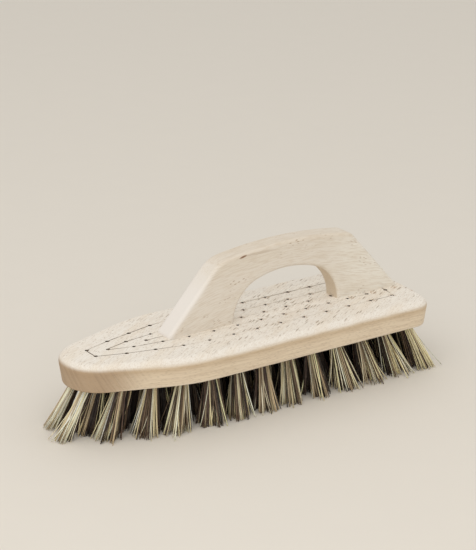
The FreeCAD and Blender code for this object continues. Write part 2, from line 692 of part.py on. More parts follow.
class Screw:
    """One countersunk wood screw, up through the block into a foot of the handle."""

    def __init__(self, number, station):
        name = f"screw_{number}"
        x = station_x(station)
        # Screws stand in turn on either side of the middle line, clear of the wire that runs along it
        y = size("screw_stagger") * (1 if number % 2 else -1)
        head_level = UNDERSIDE + size("screw_head_recess")
        shank_level = head_level + size("screw_head_height")
        shank_run = "sizes.block_thickness - sizes.screw_head_recess - sizes.screw_head_height"
        thread_run = "sizes.screw_bite - sizes.screw_point_length"
        thread_top = BLOCK_TOP + size("screw_bite") - size("screw_point_length")

        def upright(level):
            """A placement on the screw's axis."""
            return Placement(Vector(x, y, level), Rotation())

        head = solid(
            "Part::Cone", f"{name}_head", upright(head_level), Radius1="sizes.screw_head_radius",
            Radius2="sizes.screw_shank_radius", Height="sizes.screw_head_height",
        )
        shank = solid(
            "Part::Cylinder", f"{name}_shank", upright(shank_level),
            Radius="sizes.screw_shank_radius", Height=shank_run,
        )
        thread = solid(
            "Part::Cylinder", f"{name}_thread", upright(BLOCK_TOP),
            Radius="sizes.screw_thread_radius", Height=thread_run,
        )
        point = solid(
            "Part::Cone", f"{name}_point", upright(thread_top), Radius1="sizes.screw_thread_radius",
            Radius2="sizes.screw_point_radius", Height="sizes.screw_point_length",
        )
        slot_corner = Vector(x - size("screw_head_radius"), y - size("screw_slot_width") / 2, head_level)
        slot = solid(
            "Part::Box", f"{name}_slot", Placement(slot_corner, Rotation()),
            Length="2 * sizes.screw_head_radius",
            Width="sizes.screw_slot_width",
            Height="sizes.screw_slot_depth",
        )
        recess = solid(
            "Part::Cylinder", f"{name}_recess", upright(UNDERSIDE - size("overrun")),
            Radius="sizes.screw_head_radius", Height="sizes.screw_head_recess + sizes.overrun",
        )
        passage = solid(
            "Part::Cylinder", f"{name}_passage", upright(head_level),
            Radius="sizes.screw_shank_radius + sizes.screw_clearance",
            Height="sizes.block_thickness - sizes.screw_head_recess + sizes.overrun",
        )
        self.body = cut(name, united(f"{name}_blank", [head, shank, thread, point]), slot)
        self.block_tools = [recess, head, passage]
        self.handle_tools = [thread, point]


# A slab under the scrubbing face that trims every tuft flat
slab_corner = Vector(-size("block_length"), -size("block_width"), -size("fibre_length"))
under_face = solid(
    "Part::Box", "under_face", Placement(slab_corner, Rotation()), Length="2 * sizes.block_length",
    Width="2 * sizes.block_width", Height="sizes.fibre_length",
)

screws = [Screw(number, station) for number, station in enumerate(SCREW_STATION_SHARES, start=1)]
block_tools = hole_tools() + groove_tools() + [tool for screw in screws for tool in screw.block_tools]
handle_tools = [tool for screw in screws for tool in screw.handle_tools]
block = cut("brush_block", block_body(), united("block_cuts", block_tools))
handle = cut("bridge_handle", handle_body(), united("handle_screw_holes", handle_tools))
screw_set = doc.addObject("Part::Compound", "handle_screws")
screw_set.Links = [screw.body for screw in screws]
wires = [wire.build() for wire in WIRES]


def tuft_row(name, wire, tips):
    """All the tufts on one wire, numbered in its order."""
    return [tuft(f"{name}_{index + 1:02}", wire, index, tip) for index, tip in enumerate(tips)]


outer_wire, inner_wire, centre_wire = WIRES
outer_tufts = tuft_row("outer_tuft", outer_wire, OUTER_TIPS)
inner_tufts = tuft_row("inner_tuft", inner_wire, INNER_TIPS)
centre_tufts = doc.addObject("Part::Compound", "centre_tufts")
centre_tufts.Links = tuft_row("centre_tuft", centre_wire, CENTRE_TIPS)
sub_parts = [block, handle, screw_set, *wires, *outer_tufts, *inner_tufts, centre_tufts]
doc.recompute()

for item in doc.Objects:
    if "Invalid" in item.State or "Error" in item.State:
        raise RuntimeError(f"{item.Label} failed: {item.State}")
for item in sub_parts:
    if item.Shape.isNull() or not item.Shape.isValid():
        raise RuntimeError(f"{item.Label} has no valid shape")
os.makedirs("parts", exist_ok=True)
for item in sub_parts:
    item.Shape.exportStep(f"parts/{item.Label}.step")
    print(f"{item.Label}: {len(item.Shape.Solids)} solid(s), {item.Shape.Volume:.1f} mm3")
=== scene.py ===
"""Looks of a wooden scrub brush: bare beech, drawn wire, steel screws and tufts of mixed plant fibre.

The block, the handle, the wires and the screws are the frame's own solids, dressed here. The frame's
tufts are plain solids, and bunches of single fibres, worked out from the rows of holes, stand for them.
Lengths are in millimetres, and become metres where a mesh, a lamp or the camera is placed. +X runs to the
broad rear end, -Y is the near side and +Z is up.
"""
import logging
import math
from dataclasses import dataclass
from enum import Enum
from typing import Any

import bpy
import numpy as np
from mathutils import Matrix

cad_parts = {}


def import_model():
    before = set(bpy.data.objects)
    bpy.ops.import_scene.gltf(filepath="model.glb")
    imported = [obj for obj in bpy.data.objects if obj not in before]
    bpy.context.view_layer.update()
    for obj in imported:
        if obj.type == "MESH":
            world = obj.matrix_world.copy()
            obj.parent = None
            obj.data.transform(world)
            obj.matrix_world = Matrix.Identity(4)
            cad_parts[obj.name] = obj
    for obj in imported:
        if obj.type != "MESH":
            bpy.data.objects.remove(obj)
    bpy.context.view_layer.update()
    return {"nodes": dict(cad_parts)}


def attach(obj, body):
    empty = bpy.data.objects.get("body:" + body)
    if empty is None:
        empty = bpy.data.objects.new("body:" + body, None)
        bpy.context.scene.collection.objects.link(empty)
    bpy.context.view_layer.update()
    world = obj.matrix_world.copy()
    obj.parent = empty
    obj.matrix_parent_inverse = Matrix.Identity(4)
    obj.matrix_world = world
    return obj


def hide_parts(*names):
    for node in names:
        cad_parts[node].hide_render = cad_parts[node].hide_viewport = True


LOG = logging.getLogger("scrub_brush")
MM = 0.001
# The Mix node's sockets for colours, whose names are also those of its sockets for numbers.
MIX_SHARE, MIX_FIRST, MIX_SECOND, MIX_RESULT = 0, 6, 7, 2
# A span is where a mask starts and where it is full, and limits are a span up and a span down.
Colour = tuple[float, float, float]
Size = tuple[float, float, float]
Span = tuple[float, float]
Spot = tuple[float, float]
Limits = tuple[float, float, float, float]


def linear(red: int, green: int, blue: int) -> Colour:
    """Turn a colour as a screen shows it, 0 to 255, into linear light by the standard screen curve.

    Args:
        red: The red part.
        green: The green part.
        blue: The blue part.

    Returns:
        The three parts in linear light, 0 to 1.
    """
    parts = np.array((red, green, blue)) / 255
    bent = np.where(parts <= 0.04045, parts / 12.92, ((parts + 0.055) / 1.055) ** 2.4)
    return tuple(float(part) for part in bent)


class Value:
    """A socket that carries a number and can stand in Python sums."""

    def __init__(self, shader: "Shader", socket: bpy.types.NodeSocket) -> None:
        """Wrap one socket of a shader."""
        self.shader = shader
        self.socket = socket

    def _math(self, operation: str, *terms: Any) -> "Value":
        """Add one Math node over the terms."""
        return self.shader.node("ShaderNodeMath", {"operation": operation}, dict(enumerate(terms)))

    def __add__(self, other: Any) -> "Value":
        """This plus another."""
        return self._math("ADD", self, other)

    __radd__ = __add__

    def __sub__(self, other: Any) -> "Value":
        """This less another."""
        return self._math("SUBTRACT", self, other)

    def __rsub__(self, other: Any) -> "Value":
        """Another less this."""
        return self._math("SUBTRACT", other, self)

    def __mul__(self, other: Any) -> "Value":
        """This times another."""
        return self._math("MULTIPLY", self, other)

    __rmul__ = __mul__

    def __truediv__(self, other: Any) -> "Value":
        """This over another."""
        return self._math("DIVIDE", self, other)

    def __pow__(self, other: Any) -> "Value":
        """This to a power."""
        return self._math("POWER", self, other)

    def size(self) -> "Value":
        """The number without its sign."""
        return self._math("ABSOLUTE", self)

    def off_whole(self) -> "Value":
        """How far the number is from the nearest whole one."""
        return self._math("PINGPONG", self, 0.5)

    def over(self, limit: float) -> "Value":
        """One where the number is over a limit, and zero elsewhere."""
        return self._math("GREATER_THAN", self, limit)

    def rise(self, start: float, end: float) -> "Value":
        """Ease from zero at the start to one at the end, which may be the lower of the two.

        Args:
            start: Where the rise starts.
            end: Where it is done.

        Returns:
            The eased number.
        """
        return self.shader.node(
            "ShaderNodeMapRange",
            {"interpolation_type": "SMOOTHSTEP"},
            {"Value": self, "From Min": start, "From Max": end},
        )

    def within(self, limits: Limits) -> "Value":
        """Ease up between the first two limits, and down again between the last two."""
        return self.rise(limits[0], limits[1]) * self.rise(limits[3], limits[2])

    def contrast(self, strength: float) -> "Value":
        """Stretch a number from zero to one about its middle."""
        return self * strength - (strength - 1) / 2

    def choose(self, first: Any, second: Any) -> "Value":
        """The first where this is one, the second where it is zero, and a blend between."""
        return self * first + (1 - self) * second


Place = tuple[Value, Value, Value]


class Shader:
    """One material and the nodes that make its surface."""

    def __init__(self, name: str) -> None:
        """Start a material with one surface shader.

        Args:
            name: The material's name.
        """
        self.material = bpy.data.materials.new(name)
        self.material.use_nodes = True
        self.tree = self.material.node_tree
        self.surface = self.tree.nodes["Principled BSDF"]

    def node(self, kind: str, settings: dict[str, Any], inputs: dict[Any, Any], output: Any = 0) -> Value:
        """Add a node.

        Args:
            kind: The node's type.
            settings: Its own settings, set first.
            inputs: Values or links of its sockets, by name or by number.
            output: Which of its outputs is wanted, by name or by number.

        Returns:
            The wanted output.
        """
        made = self.tree.nodes.new(kind)
        for name, setting in settings.items():
            setattr(made, name, setting)
        for place, value in inputs.items():
            self._feed(made.inputs[place], value)
        return Value(self, made.outputs[output])

    def _feed(self, socket: bpy.types.NodeSocket, value: Any) -> None:
        """Link a value to a socket, or set the socket to a plain number or colour.

        Args:
            socket: The socket.
            value: A value of this shader, a number or a colour.
        """
        if isinstance(value, Value):
            self.tree.links.new(value.socket, socket)
        elif socket.type == "RGBA":
            socket.default_value = (*value, 1.0)
        else:
            socket.default_value = value

    def feed(self, **values: Any) -> None:
        """Set sockets of the surface shader, with spaces in their names written as underscores."""
        for name, value in values.items():
            self._feed(self.surface.inputs[name.replace("_", " ")], value)

    def place(self) -> Place:
        """Find the place on the piece.

        Returns:
            The place in millimetres along the piece's three axes.
        """
        spot = self.node("ShaderNodeTexCoord", {}, {}, "Object")
        parts = [self.node("ShaderNodeSeparateXYZ", {}, {"Vector": spot}, axis) for axis in "XYZ"]
        return tuple(part * (1 / MM) for part in parts)

    def point(self, first: Any, second: Any, third: Any) -> Value:
        """Join three numbers into a vector."""
        return self.node("ShaderNodeCombineXYZ", {}, {0: first, 1: second, 2: third})

    def noise(
        self, place: tuple[Any, Any, Any], size: Size, detail: float = 2.0, roughness: float = 0.5
    ) -> Value:
        """Soft noise from zero to one.

        Args:
            place: Where it is read, along three axes.
            size: How far its blotches reach along each axis.
            detail: How many finer layers it has.
            roughness: How strong those are.

        Returns:
            The noise.
        """
        spot = self.point(*(part / length for part, length in zip(place, size)))
        inputs = {"Vector": spot, "Scale": 1.0, "Detail": detail, "Roughness": roughness}
        return self.node("ShaderNodeTexNoise", {}, inputs)

    def cells(self, first: Value, second: Value) -> tuple[Value, Value]:
        """Points scattered over a plane, about one to a square unit.

        Args:
            first: The place along the plane's first axis.
            second: The place along its second axis.

        Returns:
            The distance to the nearest point, and a number from zero to one of that point's own.
        """
        inputs = {"Vector": self.point(first, second, 0.0), "Scale": 1.0}
        far = self.node("ShaderNodeTexVoronoi", {"voronoi_dimensions": "2D"}, inputs)
        colour = Value(self, far.socket.node.outputs["Color"])
        return far, self.node("ShaderNodeSeparateColor", {}, {0: colour})

    def mix(self, share: Any, first: Any, second: Any, way: str = "MIX") -> Value:
        """Mix two colours.

        Args:
            share: How much of the second.
            first: The first colour.
            second: The second colour.
            way: How they are blended.

        Returns:
            The mixed colour.
        """
        settings = {"data_type": "RGBA", "blend_type": way}
        inputs = {MIX_SHARE: share, MIX_FIRST: first, MIX_SECOND: second}
        return self.node("ShaderNodeMix", settings, inputs, MIX_RESULT)

    def bump(self, height: Value, depth: float) -> Value:
        """The normal bent by a height, one unit of which stands so many millimetres."""
        return self.node("ShaderNodeBump", {}, {"Height": height, "Distance": depth * MM, "Strength": 1.0})


@dataclass
class HoleRows:
    """Where the tufts leave the block: rings and a row of holes, counted in stations from the nose."""

    reach: float = 109.4
    outer_offset: float = 21.9
    inner_offset: float = 10.3
    rear_station: float = 12.15
    rear_edge_share: float = 0.505
    outer_nose_shares: tuple[float, ...] = (0.255, 0.54, 0.74, 0.93)
    inner_nose_shares: tuple[float, ...] = (0.48, 0.72, 0.93)
    inner_stations: tuple[float, ...] = (1.52, 2.6, 3.6, 4.6, 5.6, 6.6, 7.57, 8.56, 9.57, 10.43, 11.31)
    inner_nose_station: float = 0.65
    inner_rear_station: float = 11.0
    centre_stations: tuple[float, ...] = (2.17, 3.15, 4.15, 5.15, 6.13, 7.1, 8.08, 9.08, 10.08)
    last_outer_station: int = 12

    @property
    def pitch(self) -> float:
        """The distance from one station to the next."""
        return 2 * self.reach / self.rear_station

    def _sides(self, stations: np.ndarray, nose_shares: tuple[float, ...], offset: float) -> np.ndarray:
        """Both sides of a ring: the near row from rear to nose, then the far row back again.

        Args:
            stations: The holes of one side, from the nose.
            nose_shares: How far out the first few stand, as shares of the offset.
            offset: How far out the others stand.

        Returns:
            Stations and distances across, by hole.
        """
        shares = np.ones(len(stations))
        shares[: len(nose_shares)] = nose_shares
        near = np.column_stack((stations, -shares * offset))[::-1]
        far = np.column_stack((stations, shares * offset))
        return np.vstack((near, far))

    def _placed(self, holes: np.ndarray) -> np.ndarray:
        """Turn stations into lengths along the block."""
        return np.column_stack((holes[:, 0] * self.pitch - self.reach, holes[:, 1]))

    def outer(self) -> np.ndarray:
        """Place the outer ring of holes.

        Returns:
            Places by hole, from the rear middle round the near side, the nose and the far side.
        """
        edge = self.rear_edge_share * self.outer_offset
        stations = np.arange(self.last_outer_station + 1.0)
        sides = self._sides(stations, self.outer_nose_shares, self.outer_offset)
        rear = np.array(((self.rear_station, 0.0), (self.rear_station, -edge)))
        return self._placed(np.vstack((rear, sides, (self.rear_station, edge))))

    def inner(self) -> np.ndarray:
        """Place the inner ring of holes.

        Returns:
            Places by hole, with the nose and rear holes last.
        """
        sides = self._sides(np.array(self.inner_stations), self.inner_nose_shares, self.inner_offset)
        ends = np.array(((self.inner_nose_station, 0.0), (self.inner_rear_station, 0.0)))
        return self._placed(np.vstack((sides, ends)))

    def centre(self) -> np.ndarray:
        """The single row down the middle."""
        stations = np.array(self.centre_stations)
        return self._placed(np.column_stack((stations, np.zeros(len(stations)))))


@dataclass(frozen=True)
class Patches:
    """Soft patches, where noise of a size along each axis rises over a span."""

    size: Size
    span: Span
    strength: float = 1.0
    detail: float = 2.0
    roughness: float = 0.5

    def mask(self, shader: Shader, place: tuple[Any, Any, Any]) -> Value:
        """Where the patches are."""
        noise = shader.noise(place, self.size, self.detail, self.roughness)
        return noise.rise(*self.span) * self.strength


@dataclass(frozen=True)
class Flecks:
    """Short marks scattered along the grain, each in a room of its own."""

    length: float
    breadth: float
    edge: Span
    empty_share: float
    strength: float = 1.0

    def mask(self, shader: Shader, along: Value, across: Value) -> Value:
        """Where the marks are: near the rooms' points, save in the rooms left empty."""
        far, own = shader.cells(along / self.length, across / self.breadth)
        return far.rise(*self.edge) * own.over(self.empty_share) * self.strength


@dataclass(frozen=True)
class Oval:
    """A soft oval mark on the handle's near side, slanting by a turn in degrees."""

    place: Spot
    halves: Spot
    edge: Span
    strength: float = 1.0
    turn: float = 0.0

    def mask(self, x: Value, z: Value) -> Value:
        """Where the mark is, by the square of the distance from its middle, which is one at the halves.

        Args:
            x: The place along the brush.
            z: The height.

        Returns:
            The mask.
        """
        turn = math.radians(self.turn)
        ahead, above = x - self.place[0], z - self.place[1]
        run = ahead * math.cos(turn) + above * math.sin(turn)
        side = above * math.cos(turn) - ahead * math.sin(turn)
        away = (run / self.halves[0]) ** 2 + (side / self.halves[1]) ** 2
        return away.rise(*self.edge) * self.strength


@dataclass(frozen=True, kw_only=True)
class BeechFinish:
    """Bare sanded beech: soft growth bands, fine fibre lines and short flecks along the grain.

    A size is how far a pattern reaches along each axis, and a strength is how much of it shows.
    """

    name: str
    planed: Colour
    sawn: Colour
    # On the block, band is painted shade just under the rounded top edge; on the handle it darkens the crest
    # and tans the opening.
    band: Colour
    line: Colour
    fleck: Colour
    line_contrast: float = 1.5
    line_span: Span = (0.38, 0.7)
    line_strength: float = 0.28
    fleck_strength: float = 0.75
    roughness: float = 0.62
    line_roughness: float = 0.12
    fleck_roughness: float = 0.08
    line_height: float = 0.6
    fleck_depth: float = 0.7
    relief: float = 0.07
    gloss: float = 0.28

    def material(self) -> bpy.types.Material:
        """Make the wood.

        Returns:
            The material.
        """
        shader = Shader(self.name)
        place = shader.place()
        skin = self.skin(shader, place)
        lines, flecks = self.grain(shader, place)
        skin = shader.mix(lines.rise(*self.line_span) * self.line_strength, skin, self.line)
        skin = shader.mix(flecks * self.fleck_strength, skin, self.fleck)
        shader.feed(
            Base_Color=self.marked(shader, skin, place),
            Roughness=self.roughness + lines * self.line_roughness + flecks * self.fleck_roughness,
            Normal=shader.bump(lines * self.line_height - flecks * self.fleck_depth, self.relief),
            Specular_IOR_Level=self.gloss,
        )
        return shader.material

    def skin(self, shader: Shader, place: Place) -> Value:
        """The wood's broad colour."""
        raise NotImplementedError

    def grain(self, shader: Shader, place: Place) -> tuple[Value, Value]:
        """The fine lines and the flecks."""
        raise NotImplementedError

    def marked(self, shader: Shader, skin: Value, place: Place) -> Value:
        """The wood with the marks of its own piece."""
        raise NotImplementedError


@dataclass(frozen=True, kw_only=True)
class BlockBeech(BeechFinish):
    """The block: a pale top cut skew to the grain, tan walls, ringed end grain at the nose and painted shade
    in the holes.

    The top is paler under the bridge as painted light against its shadow, and fine rays cross the walls.
    """

    bridge_painted_light: Colour
    arris: Colour
    end: Colour
    hole: Colour
    torn: Colour
    rows: HoleRows
    first_hole_shares: tuple[float, float, float] = (0.0, 0.59, 0.12)
    grain_turn: float = 32.0
    patches: Patches = Patches((60.0, 9.0, 20.0), (0.4, 0.7), 0.3)
    bridge_along: Limits = (-30.0, -8.0, 80.0, 98.0)
    bridge_across: Limits = (-13.0, -5.0, 24.0, 36.0)
    bridge_light_strength: float = 0.7
    drift_size: Size = (40.0, 40.0, 6.0)
    drift: float = 3.0
    wall_span: Span = (47.0, 41.0)
    nose_span: Span = (-84.0, -116.0)
    end_strength: float = 0.85
    rings: Patches = Patches((2.0, 30.0, 1.0), (0.5, 0.62), 0.13)
    ring_lean: float = 0.7
    arris_span: Span = (35.2, 34.2)
    arris_drift_share: float = 0.2
    edge_span: Span = (46.0, 49.4)
    edge_drift_share: float = 0.6
    nose_edge_drop: float = 0.8
    wander_size: Size = (35.0, 35.0, 20.0)
    wander: float = 3.0
    side_size: Size = (16.0, 16.0, 0.8)
    steep_lean: float = 2 / 3
    steep_size: Size = (5 / 3, 30.0, 1.0)
    steep_span: Span = (-84.0, -108.0)
    skew_size: Size = (5.0, 0.7, 0.7)
    skew_span: Span = (46.5, 49.5)
    rays: Flecks = Flecks(4.0, 0.9, (0.36, 0.12), 0.5, 0.3)
    ray_skew: float = 0.6
    ray_slope: float = 0.1
    dashes: Flecks = Flecks(14.0, 2.2, (0.25, 0.12), 0.55)
    dash_drifts: Patches = Patches((30.0, 30.0, 1.0), (0.35, 0.6), detail=1.0)
    dash_along: Span = (-90.0, -20.0)
    specks: Flecks = Flecks(4.4, 1.6, (0.24, 0.1), 0.66, 0.55)
    speck_level: Span = (50.0, 51.3)
    mark_level: Span = (50.6, 51.2)
    wire_stain_and_shade: Patches = Patches((12.0, 5.0, 1.0), (0.4, 0.58), 0.7)
    wire_stain_along: Limits = (8.0, 36.0, 80.0, 92.0)
    outer_wire_edge: Span = (1.1, 0.45)
    inner_wire_edge: Span = (1.0, 0.4)
    inner_wire_strength: float = 0.8
    torn_wood: Patches = Patches((1.6, 1.6, 1.0), (0.44, 0.62), 0.75)
    torn_along: Span = (-60.0, 0.0)
    torn_edge: Span = (3.4, 1.2)
    hole_shade_level: Span = (51.46, 51.2)
    hole_floor: float = 45.0
    rim_breadth: float = 30.0
    rim_taper: float = 0.15
    rim_taper_breadth: float = 34.5
    rim_reach: float = 116.0

    def skin(self, shader: Shader, place: Place) -> Value:
        """Pale on the top and its rounded edge, tan on the walls, with painted shade just under that edge.

        Args:
            shader: The wood's shader.
            place: The place on the piece.

        Returns:
            The colour.
        """
        x, y, z = place
        along, across = self._skewed(x, y)
        top = shader.mix(self.patches.mask(shader, (along, across, z)), self.planed, self.sawn)
        under_bridge = x.within(self.bridge_along) * y.within(self.bridge_across)
        # Painted light: the top is lightened under the bridge, where the handle casts its shadow.
        top = shader.mix(under_bridge * self.bridge_light_strength, top, self.bridge_painted_light)
        drift = (shader.noise(place, self.drift_size, detail=1.0) - 0.5) * self.drift
        nose = x.rise(*self.nose_span)
        # Painted shade: the band colour darkens the walls just under the rounded top edge.
        wall = shader.mix((z + drift).rise(*self.wall_span), self.band, self.sawn)
        # The end colour is the nose's darker end grain, deepened as painted shade against the key lamp that
        # lights the nose.
        wall = shader.mix(nose * self.end_strength, wall, self.end)
        rings = self.rings.mask(shader, (x - y + z * self.ring_lean, z, 0.0))
        wall = shader.mix(rings * nose, wall, self.hole)
        arris = (z + drift * self.arris_drift_share).rise(*self.arris_span)
        wall = shader.mix(arris * (1 - nose), wall, self.arris)
        edge = z + drift * self.edge_drift_share - nose * self.nose_edge_drop
        return shader.mix(edge.rise(*self.edge_span), wall, top)

    def grain(self, shader: Shader, place: Place) -> tuple[Value, Value]:
        """Skew lines, dashes and specks on the top, level lines and rays on the walls, steep at the nose.

        Args:
            shader: The wood's shader.
            place: The place on the piece.

        Returns:
            The lines and the flecks.
        """
        x, y, z = place
        along, across = self._skewed(x, y)
        level = z + shader.noise(place, self.wander_size, detail=1.0) * self.wander
        side = shader.noise((x, y, level), self.side_size, detail=3.0, roughness=0.6)
        slant = x - y + z * self.steep_lean
        steep = shader.noise((slant, z, 0.0), self.steep_size, detail=3.0, roughness=0.6)
        skew = shader.noise((along, across, z), self.skew_size, detail=3.0, roughness=0.65)
        wall = x.rise(*self.steep_span).choose(steep.contrast(self.line_contrast), side)
        top = z.rise(*self.skew_span)
        lines = top.choose(skew, wall.contrast(self.line_contrast))
        rays = self.rays.mask(shader, x - y * self.ray_skew + z, z - (x + y) * self.ray_slope) * (1 - top)
        drifts = self.dash_drifts.mask(shader, (x, y, 0.0)) * x.rise(*self.dash_along)
        dashes = self.dashes.mask(shader, along, across) * drifts
        specks = self.specks.mask(shader, along, across)
        return lines, (dashes + specks) * z.rise(*self.speck_level) + rays

    def marked(self, shader: Shader, skin: Value, place: Place) -> Value:
        """A stain and painted groove shade beside the far wires, brown round torn holes, and painted shade
        down in the holes.

        Args:
            shader: The wood's shader.
            skin: The wood's colour with its grain.
            place: The place on the piece.

        Returns:
            The colour.
        """
        x, y, z = place
        rows = self.rows
        breadth = y.size()
        level = z.rise(*self.mark_level)
        # A stain and painted groove shade darken the wood beside the far wires.
        patchy = self.wire_stain_and_shade.mask(shader, (x, y, 0.0)) * x.within(self.wire_stain_along) * level
        beside_outer = (y - rows.outer_offset).size().rise(*self.outer_wire_edge)
        beside_inner = (y - rows.inner_offset).size().rise(*self.inner_wire_edge) * self.inner_wire_strength
        skin = shader.mix((beside_outer + beside_inner) * patchy, skin, self.fleck)
        torn = self.torn_wood.mask(shader, (x, y, 0.0)) * x.rise(*self.torn_along) * level
        for offset, share in zip((rows.outer_offset, rows.inner_offset, 0.0), self.first_hole_shares):
            along = ((x + rows.reach) / rows.pitch - share).off_whole() * rows.pitch
            away = (along**2 + (breadth - offset) ** 2) ** 0.5
            skin = shader.mix(away.rise(*self.torn_edge) * torn, skin, self.torn)
        inside = 1 - breadth.over(self.rim_breadth)
        inside = inside * (1 - (breadth - x * self.rim_taper).over(self.rim_taper_breadth))
        inside = inside * (1 - x.size().over(self.rim_reach))
        # Painted shade: the holes and wire grooves are darkened below the top.
        return shader.mix(inside * z.rise(*self.hole_shade_level) * z.over(self.hole_floor), skin, self.hole)

    def _skewed(self, x: Value, y: Value) -> tuple[Value, Value]:
        """Turn the place on the top to lie along and across the grain."""
        turn = math.radians(self.grain_turn)
        return x * math.cos(turn) + y * math.sin(turn), y * math.cos(turn) - x * math.sin(turn)


@dataclass(frozen=True, kw_only=True)
class HandleBeech(BeechFinish):
    """The handle: long grain that follows the bow, painted light on the front slope and rear, and a brown
    streak.
    """

    rear: Colour
    slope: Colour
    streak: Colour
    patches: Patches = Patches((50.0, 14.0, 6.0), (0.4, 0.7), 0.45)
    rear_light_span: Span = (50.0, 95.0)
    bow_middle: float = 35.0
    bow_radius: float = 300.0
    crest_span: Span = (96.0, 99.0)
    crest_strength: float = 0.25
    front_turn: float = 138.0
    front_span: Span = (74.2, 78.4)
    front_level: Span = (100.0, 72.0)
    opening_middle: float = 31.7
    opening_half: Span = (42.2, 41.4)
    opening_level: Span = (82.2, 81.0)
    opening_edge: Span = (6.4, 5.2)
    opening_strength: float = 0.75
    wander_size: Size = (40.0, 12.0, 20.0)
    wander: float = 4.0
    line_size: Size = (9.0, 1.2, 0.8)
    front_line_loss: float = 0.5
    pores: Flecks = Flecks(4.0, 1.3, (0.3, 0.12), 0.35)
    pore_drifts: Patches = Patches((16.0, 16.0, 9.0), (0.56, 0.7), 0.6, detail=1.0)
    pore_patches: tuple[Oval, ...] = (
        Oval((-7.0, 79.7), (9.0, 2.2), (1.1, 0.3), turn=6.84),
        Oval((38.0, 97.7), (9.0, 2.2), (1.1, 0.3), turn=6.84),
    )
    pore_side: Span = (-5.5, -7.0)
    streak_mark: Oval = Oval((-2.7, 95.2), (3.6, 0.8), (1.0, 0.1), 0.9, turn=12.7)
    tail_mark: Oval = Oval((10.0, 95.6), (15.0, 1.0), (1.0, 0.2), 0.28)
    mark_side: Span = (-4.5, -6.0)

    def skin(self, shader: Shader, place: Place) -> Value:
        """Pale, darker along the crest, with painted light at the rear and down the front slope, tan in the
        opening.

        Args:
            shader: The wood's shader.
            place: The place on the piece.

        Returns:
            The colour.
        """
        x, y, z = place
        level = self._level(x, z)
        # Painted light: the handle is lightened towards the rear, which the key lamp leaves darker.
        skin = shader.mix(x.rise(*self.rear_light_span), self.planed, self.rear)
        skin = shader.mix(self.patches.mask(shader, (x, y, level)), skin, self.sawn)
        skin = shader.mix(level.rise(*self.crest_span) * self.crest_strength, skin, self.band)
        # Painted light: the front slope is painted paler, as it looks where the lamp lights it.
        skin = shader.mix(self._front(x, z), skin, self.slope)
        # The tan in the opening is partly end grain and partly painted shade under the arch.
        opening = z.rise(*self.opening_level) * (x - self.opening_middle).size().rise(*self.opening_half)
        opening = opening * y.size().rise(*self.opening_edge)
        return shader.mix(opening * self.opening_strength, skin, self.band)

    def grain(self, shader: Shader, place: Place) -> tuple[Value, Value]:
        """Fine lines along the bow, with short pores in a few drifts and in two patches on the near side.

        Args:
            shader: The wood's shader.
            place: The place on the piece.

        Returns:
            The lines and the pores.
        """
        x, y, z = place
        level = self._level(x, z) + shader.noise(place, self.wander_size, detail=1.0) * self.wander
        lines = shader.noise((x, y, level), self.line_size, detail=3.0, roughness=0.66)
        drifts = self.pore_drifts.mask(shader, place)
        for patch in self.pore_patches:
            drifts = drifts + patch.mask(x, z) * y.rise(*self.pore_side)
        front = self._front(x, z)
        pores = self.pores.mask(shader, x, level + y) * drifts * (1 - front)
        return lines.contrast(self.line_contrast) * (1 - front * self.front_line_loss), pores

    def marked(self, shader: Shader, skin: Value, place: Place) -> Value:
        """One small brown streak high on the near side, slanting up along the bow, with a faint tail.

        Args:
            shader: The wood's shader.
            skin: The wood's colour with its grain.
            place: The place on the piece.

        Returns:
            The colour.
        """
        x, y, z = place
        near = y.rise(*self.mark_side)
        skin = shader.mix(self.tail_mark.mask(x, z) * near, skin, self.fleck)
        return shader.mix(self.streak_mark.mask(x, z) * near, skin, self.streak)

    def _front(self, x: Value, z: Value) -> Value:
        """Find the front slope, by how far the place lies out along the slope's normal.

        Args:
            x: The place along the brush.
            z: The height.

        Returns:
            One down the slope, and zero elsewhere.
        """
        turn = math.radians(self.front_turn)
        ahead = x * math.cos(turn) + z * math.sin(turn)
        return ahead.rise(*self.front_span) * z.rise(*self.front_level)

    def _level(self, x: Value, z: Value) -> Value:
        """The height above a line that is bowed like the handle's top."""
        return z + (x - self.bow_middle) ** 2 / (2 * self.bow_radius)


@dataclass(frozen=True)
class MetalFinish:
    """Turned steel, dulled by a thin uneven skin."""

    name: str
    bright: Colour
    dull: Colour
    roughness: float = 0.35
    worn_skin: Patches = Patches((2.0, 2.0, 2.0), (0.4, 0.7), detail=3.0, roughness=0.6)
    worn_polish: float = 0.1
    dull_loss: float = 0.3
    line_size: Size = (6.0, 0.25, 0.25)
    line_roughness: float = 0.15
    relief: float = 0.02

    def material(self) -> bpy.types.Material:
        """Make the metal.

        Returns:
            The material.
        """
        shader = Shader(self.name)
        place = shader.place()
        patchy = self.worn_skin.mask(shader, place)
        lines = shader.noise(place, self.line_size, detail=1.0)
        shader.feed(
            Base_Color=shader.mix(patchy, self.dull, self.bright),
            Roughness=self.roughness + lines * self.line_roughness - patchy * self.worn_polish,
            Metallic=1 - (1 - patchy) * self.dull_loss,
            Normal=shader.bump(lines, self.relief),
        )
        return shader.material


